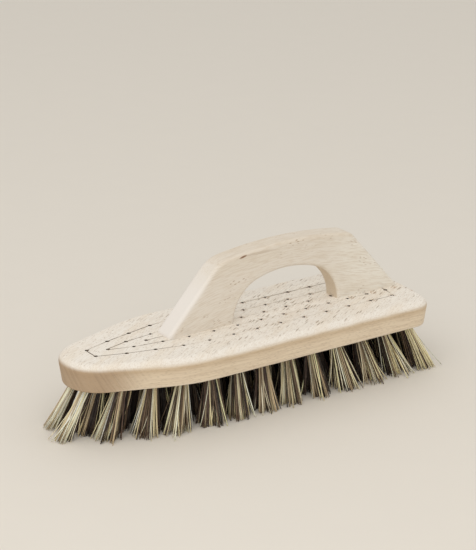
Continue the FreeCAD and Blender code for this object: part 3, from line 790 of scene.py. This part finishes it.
@dataclass(frozen=True)
class WireFinish:
    """Thin drawn wire: brown where it is bare, pale where wood dust has filled its groove, and painted shade
    in the holes.
    """

    name: str
    bare: Colour
    dusty: Colour
    hole: Colour
    bare_stretches: Patches = Patches((14.0, 14.0, 14.0), (0.36, 0.56))
    fine_size: Size = (1.5, 1.5, 1.5)
    near_along: Limits = (-78.0, -40.0, 84.0, 98.0)
    near_across: Span = (19.0, 12.0)
    far_side: float = 5.0
    far_side_shift: float = 16.0
    far_along: Limits = (-40.0, -10.0, 42.0, 54.0)
    far_across: Span = (15.0, 20.0)
    far_strength: float = 0.75
    hole_shade_level: Span = (51.2, 50.85)
    roughness: float = 0.5
    fine_roughness: float = 0.2
    metallic: float = 0.3
    relief: float = 0.03

    def material(self) -> bpy.types.Material:
        """Make the wire.

        Returns:
            The material.
        """
        shader = Shader(self.name)
        place = shader.place()
        x, y, z = place
        fine = shader.noise(place, self.fine_size)
        front, full, fading, rear = self.near_along
        shifted = x + y.over(self.far_side) * self.far_side_shift
        near = x.rise(front, full) * shifted.rise(rear, fading) * y.rise(*self.near_across)
        far = x.within(self.far_along) * y.rise(*self.far_across) * self.far_strength
        dust = 1 - (1 - (near + far)) * self.bare_stretches.mask(shader, place)
        skin = shader.mix(dust, shader.mix(fine, self.bare, self.hole), self.dusty)
        shader.feed(
            # Painted shade: the wire is darkened where it dips into the holes.
            Base_Color=shader.mix(z.rise(*self.hole_shade_level), skin, self.hole),
            Roughness=self.roughness + fine * self.fine_roughness,
            Metallic=(1 - dust) * self.metallic,
            Normal=shader.bump(fine, self.relief),
        )
        return shader.material


@dataclass(frozen=True)
class FibreFinish:
    """Stiff plant fibre whose colour is held by each fibre, with fine lengthwise streaks."""

    name: str
    attribute: str = "fibre_colour"
    streak_size: Size = (0.35, 0.35, 7.0)
    streak_span: Span = (0.35, 0.75)
    streak_strength: float = 0.14
    streak_tint: Colour = (0.30, 0.25, 0.19)
    blotches: Patches = Patches((1.1, 1.1, 3.0), (0.55, 0.8), 0.08, detail=1.0)
    blotch_tint: Colour = (0.85, 0.78, 0.66)
    roughness: float = 0.4
    streak_roughness: float = 0.2
    relief: float = 0.05
    gloss: float = 0.5

    def material(self) -> bpy.types.Material:
        """Make the fibre.

        Returns:
            The material.
        """
        shader = Shader(self.name)
        place = shader.place()
        own = shader.node("ShaderNodeAttribute", {"attribute_name": self.attribute}, {})
        streak = shader.noise(place, self.streak_size, roughness=0.6)
        darker = streak.rise(*self.streak_span) * self.streak_strength
        shade = shader.mix(darker, own, self.streak_tint, "MULTIPLY")
        shader.feed(
            Base_Color=shader.mix(self.blotches.mask(shader, place), shade, self.blotch_tint, "SCREEN"),
            Roughness=self.roughness + streak * self.streak_roughness,
            Normal=shader.bump(streak, self.relief),
            Specular_IOR_Level=self.gloss,
        )
        return shader.material


@dataclass(frozen=True)
class FloorFinish:
    """A plain pale studio floor with a barely seen mottle."""

    name: str
    colour: Colour
    mottle_size: Size = (30.0, 30.0, 30.0)
    mottle_strength: float = 0.08
    mottle_tint: Colour = (0.6, 0.57, 0.52)
    roughness: float = 0.85
    gloss: float = 0.15

    def material(self) -> bpy.types.Material:
        """Make the floor's surface.

        Returns:
            The material.
        """
        shader = Shader(self.name)
        mottle = shader.noise(shader.place(), self.mottle_size, detail=3.0) * self.mottle_strength
        shader.feed(
            Base_Color=shader.mix(mottle, self.colour, self.mottle_tint),
            Roughness=self.roughness,
            Specular_IOR_Level=self.gloss,
        )
        return shader.material


def mesh_piece(
    name: str, points: np.ndarray, faces: np.ndarray, material: bpy.types.Material
) -> bpy.types.Object:
    """Put points and faces into a mesh, with its place in its points.

    Args:
        name: The piece's name.
        points: Places in millimetres, one row each.
        faces: The point numbers of a face in each row, turning left as seen from outside.
        material: What it is dressed in.

    Returns:
        The piece.
    """
    mesh = bpy.data.meshes.new(name)
    mesh.vertices.add(len(points))
    mesh.vertices.foreach_set("co", (points * MM).astype(np.float32).ravel())
    mesh.loops.add(faces.size)
    mesh.loops.foreach_set("vertex_index", faces.astype(np.int32).ravel())
    mesh.polygons.add(len(faces))
    mesh.polygons.foreach_set("loop_start", np.arange(0, faces.size, faces.shape[1], dtype=np.int32))
    mesh.polygons.foreach_set("use_smooth", np.ones(len(faces), dtype=bool))
    mesh.update(calc_edges=True)
    mesh.validate()
    mesh.materials.append(material)
    piece = bpy.data.objects.new(name, mesh)
    bpy.context.scene.collection.objects.link(piece)
    return piece


class Ring(Enum):
    """Which tufts a bunch of fibres belongs to."""

    OUTER = "outer"
    INNER = "inner"
    CENTRE = "centre"


@dataclass
class Bundle:
    """One ring's fibres: their holes, their places in each tuft, their bunches and which of them stray."""

    ring: Ring
    holes: np.ndarray
    disc: np.ndarray
    hubs: np.ndarray
    bunch: np.ndarray
    stray: np.ndarray


@dataclass
class FibreTufts:
    """Tufts of single fibres that leave the bores together, splay and are trimmed level.

    Places along the brush are shares of the rows' reach, from the nose at -1 to the rear at 1. Own leans
    give a tuft's number in the outer ring, and how far its tip leans along and across.
    """

    rows: HoleRows
    finish: FibreFinish
    fibres: int = 118
    sides: int = 4
    block_top: float = 51.5
    underside: float = 33.5
    root: float = 45.6
    neck_radius: float = 3.2
    tip_places: tuple[float, ...] = (-1.0, -0.84, -0.5, 0.0, 0.5, 1.0)
    tip_shares: tuple[float, ...] = (0.36, 0.55, 0.5, 0.45, 0.47, 0.5)
    flare_power: float = 1.05
    end_splay: float = 19.3
    side_fan: float = 0.466
    thinnest: float = 0.18
    thickest: float = 0.48
    levels: tuple[float, ...] = (0.0, 0.18, 0.38, 0.58, 0.8, 1.0)
    tapers: tuple[float, ...] = (0.9, 1.0, 1.0, 1.0, 0.98, 0.94, 0.86)
    jog: float = 0.045
    bunch_jog: float = 0.12
    cling: float = 0.35
    lean: float = 0.6
    own_leans: tuple[tuple[int, float, float], ...] = (
        (5, -1.0, 0.0),
        (7, -1.5, 0.0),
        (8, -2.0, 0.0),
        (9, -1.5, 0.0),
        (11, 1.0, 0.0),
        (12, -2.5, 0.0),
        (13, 0.0, 1.0),
        (14, -1.5, 2.0),
        (15, -3.5, 6.0),
        (16, 1.0, 11.0),
    )
    bunch_pull: float = 0.9
    trim: float = 0.7
    short_share: float = 0.07
    short_span: Span = (0.5, 3.5)
    bend: float = 0.8
    stray_share: float = 0.06
    stray_bend: float = 4.0
    stray_limit: float = 6.0
    sag: float = 0.2
    kinds: tuple[Colour, ...] = (
        linear(251, 243, 214),
        linear(241, 228, 186),
        linear(192, 175, 144),
        linear(108, 89, 70),
        linear(82, 63, 53),
        linear(46, 34, 16),
    )
    light_kinds: int = 2
    outward_bunches: tuple[int, ...] = (4, 8, 3, 4, 4, 5)
    # Inward bunches are mostly the darkest kind: partly the fibres' own mix, partly painted shade between
    # tufts.
    inward_bunches: tuple[int, ...] = (0, 1, 2, 3, 4, 18)
    facing_weights: Span = (0.6, 1.0)
    facing_limit: float = -0.1
    lone_share: float = 0.2
    # The strongly negative shift at the nose lightens its kinds as painted light.
    shift_places: tuple[float, ...] = (-1.0, -0.9, -0.6, -0.2, 0.3, 0.8, 1.0)
    shifts: tuple[float, ...] = (-3.0, -0.6, -0.5, 0.5, 0.2, 0.0, 0.1)
    shade_spread: float = 0.17
    warmth: float = 0.02
    warmth_spread: float = 0.03
    warm_parts: Colour = (1.0, 0.2, -1.0)
    tint_limits: Span = (0.01, 0.92)
    bore_painted_shade: tuple[float, ...] = (0.5, 0.9, 1.0)

    def holes(self, ring: Ring) -> np.ndarray:
        """The holes of one ring."""
        rows = {Ring.OUTER: self.rows.outer, Ring.INNER: self.rows.inner, Ring.CENTRE: self.rows.centre}
        return rows[ring]()

    def nodes(self, ring: Ring) -> list[str]:
        """Name the frame's plain solids that one ring of tufts stands for.

        Args:
            ring: Which ring.

        Returns:
            The names.
        """
        if ring is Ring.CENTRE:
            return ["centre_tufts"]
        return [f"{ring.value}_tuft_{number:02}" for number in range(1, len(self.holes(ring)) + 1)]

    def build(self, ring: Ring, seed: int) -> bpy.types.Object:
        """Make one ring of tufts.

        Args:
            ring: Which ring.
            seed: What its chance follows.

        Returns:
            The piece.
        """
        chance = np.random.default_rng(seed)
        bundle = self._bundle(ring, chance)
        lines = self._lines(bundle, chance)
        points, faces = self._strands(lines, chance)
        piece = mesh_piece(f"{ring.value}_fibres", points, faces, self.finish.material())
        self._colour(piece, self._tints(bundle, chance))
        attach(piece, "root")
        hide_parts(*self.nodes(ring))
        return piece

    def _bundle(self, ring: Ring, chance: np.random.Generator) -> Bundle:
        """Share out one ring's fibres into bunches, each fibre to about the nearest hub in its tuft.

        Args:
            ring: Which ring.
            chance: Where chance comes from.

        Returns:
            The ring's fibres.
        """
        holes = self.holes(ring)
        disc = self._disc(len(holes), chance)
        hubs = chance.uniform(-1, 1, (len(holes), sum(self.outward_bunches), 2))
        away = np.linalg.norm(disc[:, :, None, :] - hubs[:, None, :, :], axis=-1)
        bunch = np.argmin(away + chance.uniform(0, self.bunch_jog, away.shape), axis=-1)
        return Bundle(ring, holes, disc, hubs, bunch, chance.random(bunch.shape) < self.stray_share)

    def _reach(self, holes: np.ndarray) -> np.ndarray:
        """How far the tips stand out from the holes, in step with the distance from the middle."""
        return np.column_stack((self.end_splay * holes[:, 0] / self.rows.reach, self.side_fan * holes[:, 1]))

    def _tip_radii(self, ring: Ring) -> np.ndarray:
        """How wide each tuft's tip is: a share of the way to the nearest of the others.

        Args:
            ring: Which ring.

        Returns:
            Radii, by tuft.
        """
        tips = {each: self.holes(each) + self._reach(self.holes(each)) for each in Ring}
        others = np.vstack([tips[each] for each in Ring if each is not Ring.CENTRE or ring is Ring.CENTRE])
        away = np.linalg.norm(tips[ring][:, None, :] - others, axis=-1)
        shares = np.interp(self.holes(ring)[:, 0] / self.rows.reach, self.tip_places, self.tip_shares)
        return shares * np.where(away > 0, away, np.inf).min(axis=1)

    def _disc(self, tufts: int, chance: np.random.Generator) -> np.ndarray:
        """Even places in a unit disc for each tuft's fibres.

        The places follow a sunflower's spiral: the radius is the root of the count, the turn is the
        golden angle, and each is jogged a little.

        Args:
            tufts: How many tufts.
            chance: Where chance comes from.

        Returns:
            Places, by tuft, fibre and axis.
        """
        count = np.arange(self.fibres)
        radius = np.sqrt((count + 0.5) / self.fibres)
        angle = count * math.pi * (3 - math.sqrt(5)) + chance.uniform(0, 2 * math.pi, (tufts, 1))
        places = np.stack((radius * np.cos(angle), radius * np.sin(angle)), axis=-1)
        return places + chance.normal(0, self.jog, places.shape)

    def _lines(self, bundle: Bundle, chance: np.random.Generator) -> np.ndarray:
        """The middle line of every fibre.

        Each follows its tuft's axis, which leans out from the block's top. Its distance from the axis
        stays the same in the bore and then grows with the run below the block, while it clings to its
        bunch's hub. Every tuft leans its own way and every bunch is pulled its own way, both as the run.
        A bend grows with the square of the run, and is large on the strays. A sag is half a wave.

        Args:
            bundle: The ring's fibres.
            chance: Where chance comes from.

        Returns:
            Points, by fibre, level and axis.
        """
        tufts, fibres = shape = bundle.bunch.shape
        reach = self._reach(bundle.holes)
        lean = chance.normal(0, self.lean, reach.shape)
        for number, along, across in self.own_leans if bundle.ring is Ring.OUTER else ():
            lean[number - 1] = along, across
        pull = chance.normal(0, self.bunch_pull, (tufts, bundle.hubs.shape[1], 2))
        pull = lean[:, None, :] + np.take_along_axis(pull, bundle.bunch[..., None], axis=1)
        short = np.abs(chance.normal(0, self.trim, shape))
        cropped = chance.random(shape) < self.short_share
        short = (short + np.where(cropped, chance.uniform(*self.short_span, shape), 0))[..., None]
        below = short + (self.underside - short) * (1 - np.array(self.levels))
        height = np.concatenate((np.full((*shape, 1), self.root), below), axis=-1)
        run = np.array((0.0, *self.levels))
        slide = ((self.block_top - height) / self.block_top)[..., None]
        axis = bundle.holes[:, None, None, :] + reach[:, None, None, :] * slide
        flare = (self._tip_radii(bundle.ring)[:, None] - self.neck_radius) * run**self.flare_power
        bend = chance.normal(0, self.bend, (*shape, 2))
        wild = np.clip(chance.normal(0, self.stray_bend, bend.shape), -self.stray_limit, self.stray_limit)
        bend = np.where(bundle.stray[..., None], wild, bend)
        sag = chance.normal(0, self.sag, bend.shape)
        toward = np.take_along_axis(bundle.hubs, bundle.bunch[..., None], axis=1) - bundle.disc
        place = bundle.disc[:, :, None, :] + self.cling * toward[:, :, None, :] * run[:, None]
        flat = axis + place * (self.neck_radius + flare)[:, None, :, None]
        flat = flat + pull[:, :, None, :] * run[:, None]
        flat = flat + bend[:, :, None, :] * (run**2)[:, None]
        flat = flat + sag[:, :, None, :] * np.sin(math.pi * run)[:, None]
        return np.concatenate((flat, height[..., None]), axis=-1).reshape(tufts * fibres, len(run), 3)

    def _strands(self, lines: np.ndarray, chance: np.random.Generator) -> tuple[np.ndarray, np.ndarray]:
        """Thin closed strands round the middle lines.

        At each level of a line the strand has a level ring of corners at equal angles, whose radius is
        the fibre's own times the level's taper. With four sides, its ends are four-cornered like its walls.

        Args:
            lines: Points, by fibre, level and axis.
            chance: Where chance comes from.

        Returns:
            The points and the faces.
        """
        fibres, levels = lines.shape[:2]
        corner = np.arange(self.sides)
        radius = chance.uniform(self.thinnest, self.thickest, (fibres, 1, 1))
        radius = radius * np.array(self.tapers)[:, None]
        angle = chance.uniform(0, math.pi, (fibres, 1, 1)) + corner * 2 * math.pi / self.sides
        flat = (radius * np.cos(angle), radius * np.sin(angle))
        ring = np.stack((*flat, np.zeros((fibres, levels, self.sides))), axis=-1)
        points = (lines[:, :, None, :] + ring).reshape(-1, 3)
        nearby = np.roll(corner, -1)
        upper = np.arange(levels - 1)[:, None] * self.sides
        lower = upper + self.sides
        walls = np.stack((lower + corner, lower + nearby, upper + nearby, upper + corner), axis=-1)
        ends = np.array((corner, (levels - 1) * self.sides + corner[::-1]))
        strand = np.vstack((walls.reshape(-1, self.sides), ends))
        starts = np.arange(fibres)[:, None, None] * levels * self.sides
        return points, (strand + starts).reshape(-1, self.sides)

    def _tints(self, bundle: Bundle, chance: np.random.Generator) -> np.ndarray:
        """The colour of every fibre: each bunch has a kind, mostly light on the outside and dark within.

        A few fibres have a kind of their own. The dark kinds within are partly the fibres' own mix and
        partly painted shade. On the outside the kinds are then shifted, lighter or darker by the tuft's
        place along the brush, lighter at the nose as painted light, and strays are light. Each fibre has its
        own shade and warmth.

        Args:
            bundle: The ring's fibres.
            chance: Where chance comes from.

        Returns:
            Colours, by fibre.
        """
        kinds = np.array(self.kinds)
        outer = bundle.ring is Ring.OUTER
        share = bundle.holes / np.array((self.rows.reach, self.rows.outer_offset))
        outward = (share * np.array(self.facing_weights))[:, None, :]
        # Bunches that face into the brush take the dark pool, partly as painted shade between the tufts.
        facing = ((bundle.hubs * outward).sum(axis=-1) > self.facing_limit) & outer
        counts = (self.outward_bunches, self.inward_bunches)
        pools = [np.repeat(np.arange(len(kinds)), count) for count in counts]
        light, dark = (chance.permuted(np.tile(pool, (len(share), 1)), axis=1) for pool in pools)
        kind = np.take_along_axis(np.where(facing, light, dark), bundle.bunch, axis=1)
        lone = chance.choice(pools[0 if outer else 1], kind.shape)
        kind = np.where(chance.random(kind.shape) < self.lone_share, lone, kind)
        # Painted light: the kinds of outward bunches are lightened at the nose.
        shift = np.interp(share[:, :1], self.shift_places, self.shifts)
        shift = np.floor(shift + chance.random(kind.shape)).astype(int)
        shifted = np.clip(kind + shift, 0, len(kinds) - 1)
        kind = np.where(np.take_along_axis(facing, bundle.bunch, axis=1), shifted, kind)
        kind = np.where(bundle.stray, kind % self.light_kinds, kind)
        shade = chance.normal(1.0, self.shade_spread, (*kind.shape, 1))
        warmth = chance.normal(self.warmth, self.warmth_spread, shade.shape) * np.array(self.warm_parts)
        return np.clip(kinds[kind] * shade * (1 + warmth), *self.tint_limits).reshape(-1, 3)

    def _colour(self, piece: bpy.types.Object, tints: np.ndarray) -> None:
        """Hold each fibre's colour on its points, with painted shade in the bore.

        Args:
            piece: The ring's piece.
            tints: Colours, by fibre.
        """
        # Painted shade: the fibres are darkened in the bore and just below the block.
        shade = np.ones(len(self.tapers))
        shade[: len(self.bore_painted_shade)] = self.bore_painted_shade
        colour = np.ones((len(tints), len(shade), self.sides, 4), dtype=np.float32)
        colour[..., :3] = tints[:, None, None, :] * shade[:, None, None]
        held = piece.data.color_attributes.new(self.finish.attribute, "FLOAT_COLOR", "POINT")
        held.data.foreach_set("color", colour.ravel())


@dataclass
class WoodenBody:
    """The block and the bridge handle, with the screws that hold them and the wires through the block."""

    nodes: dict[str, bpy.types.Object]
    block: BeechFinish
    handle: BeechFinish
    wire: WireFinish
    screw: MetalFinish

    def dress(self) -> list[str]:
        """Give each solid its finish.

        Returns:
            The names of the solids.
        """
        wire = self.wire.material()
        finishes = {
            "brush_block": self.block.material(),
            "bridge_handle": self.handle.material(),
            "handle_screws": self.screw.material(),
            "outer_wire": wire,
            "inner_wire": wire,
            "centre_wire": wire,
        }
        for name, material in finishes.items():
            slots = self.nodes[name].data.materials
            slots.clear()
            slots.append(material)
        return list(finishes)


@dataclass
class Studio:
    """The floor, the soft light and the camera."""

    floor: FloorFinish
    floor_half: float = 6000.0
    lens: float = 117.8
    sensor: float = 36.0
    camera_sight: float = 50000.0
    camera_place: tuple[float, float, float] = (-602.3, -894.7, 464.5)
    camera_tilt: float = 70.4
    camera_turn: float = -33.87
    sky: float = 0.77
    sky_colour: Colour = (1.0, 0.985, 0.96)
    key_power: float = 10.0
    key_colour: Colour = (1.0, 0.975, 0.94)
    key_size: float = 1800.0
    key_place: tuple[float, float, float] = (-760.0, -760.0, 1100.0)

    def build(self) -> None:
        """Make the floor, the lights and the camera."""
        self._lay_floor()
        self._light()
        self._stand_camera()

    def _lay_floor(self) -> None:
        """A level square under the tips of the fibres."""
        half = self.floor_half
        points = np.array(((-half, -half, 0.0), (half, -half, 0.0), (half, half, 0.0), (-half, half, 0.0)))
        mesh_piece("floor", points, np.arange(4)[None, :], self.floor.material())

    def _light(self) -> None:
        """One large soft lamp, high before the near side and the nose, and an even sky."""
        world = bpy.data.worlds.new("studio_sky")
        world.use_nodes = True
        sky = world.node_tree.nodes["Background"]
        sky.inputs["Color"].default_value = (*self.sky_colour, 1.0)
        sky.inputs["Strength"].default_value = self.sky
        bpy.context.scene.world = world
        lamp = bpy.data.lights.new("key_lamp", "AREA")
        lamp.shape = "SQUARE"
        lamp.size = self.key_size * MM
        lamp.energy = self.key_power
        lamp.color = self.key_colour
        key = bpy.data.objects.new("key_lamp", lamp)
        key.location = np.array(self.key_place) * MM
        x, y, z = self.key_place
        key.rotation_euler = (0.0, math.atan2(math.hypot(x, y), z), math.atan2(y, x))
        bpy.context.scene.collection.objects.link(key)

    def _stand_camera(self) -> None:
        """The camera, level from side to side."""
        lens = bpy.data.cameras.new("camera")
        lens.sensor_fit = "VERTICAL"
        lens.sensor_height = self.sensor
        lens.lens = self.lens
        lens.clip_end = self.camera_sight * MM
        camera = bpy.data.objects.new("camera", lens)
        camera.location = np.array(self.camera_place) * MM
        camera.rotation_euler = (math.radians(self.camera_tilt), 0.0, math.radians(self.camera_turn))
        bpy.context.scene.collection.objects.link(camera)
        bpy.context.scene.camera = camera


ROWS = HoleRows()
# Painted shade in the holes and on the wire in them; it also colours the nose's end-grain rings and the
# wire's darker flecks.
HOLE_BROWN = linear(62, 46, 36)
BLOCK_BEECH = BlockBeech(
    name="block_beech",
    planed=linear(236, 230, 220),
    sawn=linear(226, 209, 184),
    # Painted shade on the block's walls just under the rounded top edge.
    band=linear(207, 186, 157),
    line=linear(180, 154, 124),
    fleck=linear(150, 130, 106),
    # Painted light on the block's top under the bridge, against the handle's shadow.
    bridge_painted_light=linear(249, 243, 232),
    arris=linear(228, 215, 195),
    # Darker end grain of the nose, deepened as painted shade against the key lamp.
    end=linear(170, 145, 118),
    hole=HOLE_BROWN,
    torn=linear(168, 132, 94),
    rows=ROWS,
)
HANDLE_BEECH = HandleBeech(
    name="handle_beech",
    planed=linear(225, 217, 205),
    sawn=linear(219, 208, 190),
    # Partly painted shade in the handle's opening; it also darkens the crest.
    band=linear(205, 187, 162),
    line=linear(188, 166, 137),
    fleck=linear(156, 128, 96),
    # Painted light towards the handle's rear.
    rear=linear(233, 228, 217),
    # Painted light down the handle's front slope.
    slope=linear(230, 224, 217),
    streak=linear(124, 84, 52),
)
DRAWN_WIRE = WireFinish("drawn_wire", linear(140, 120, 98), linear(230, 222, 208), HOLE_BROWN)
SCREW_STEEL = MetalFinish("screw_steel", linear(190, 188, 184), linear(150, 146, 140))
PLANT_FIBRE = FibreFinish("plant_fibre")
PALE_FLOOR = FloorFinish("pale_floor", linear(226, 220, 210))
FIRST_SEED = 81


def main() -> None:
    """Load the frame, dress its solids, make the fibres and set the studio."""
    logging.basicConfig(level=logging.INFO, format="%(name)s: %(message)s")
    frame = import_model()
    bpy.context.scene.view_settings.view_transform = "Standard"
    body = WoodenBody(frame["nodes"], BLOCK_BEECH, HANDLE_BEECH, DRAWN_WIRE, SCREW_STEEL)
    for name in body.dress():
        LOG.info("dressed %s", name)
    tufts = FibreTufts(ROWS, PLANT_FIBRE)
    for seed, ring in enumerate(Ring, start=FIRST_SEED):
        piece = tufts.build(ring, seed)
        LOG.info("made %s with %d faces", piece.name, len(piece.data.polygons))
    Studio(PALE_FLOOR).build()


if __name__ == "__main__":
    main()
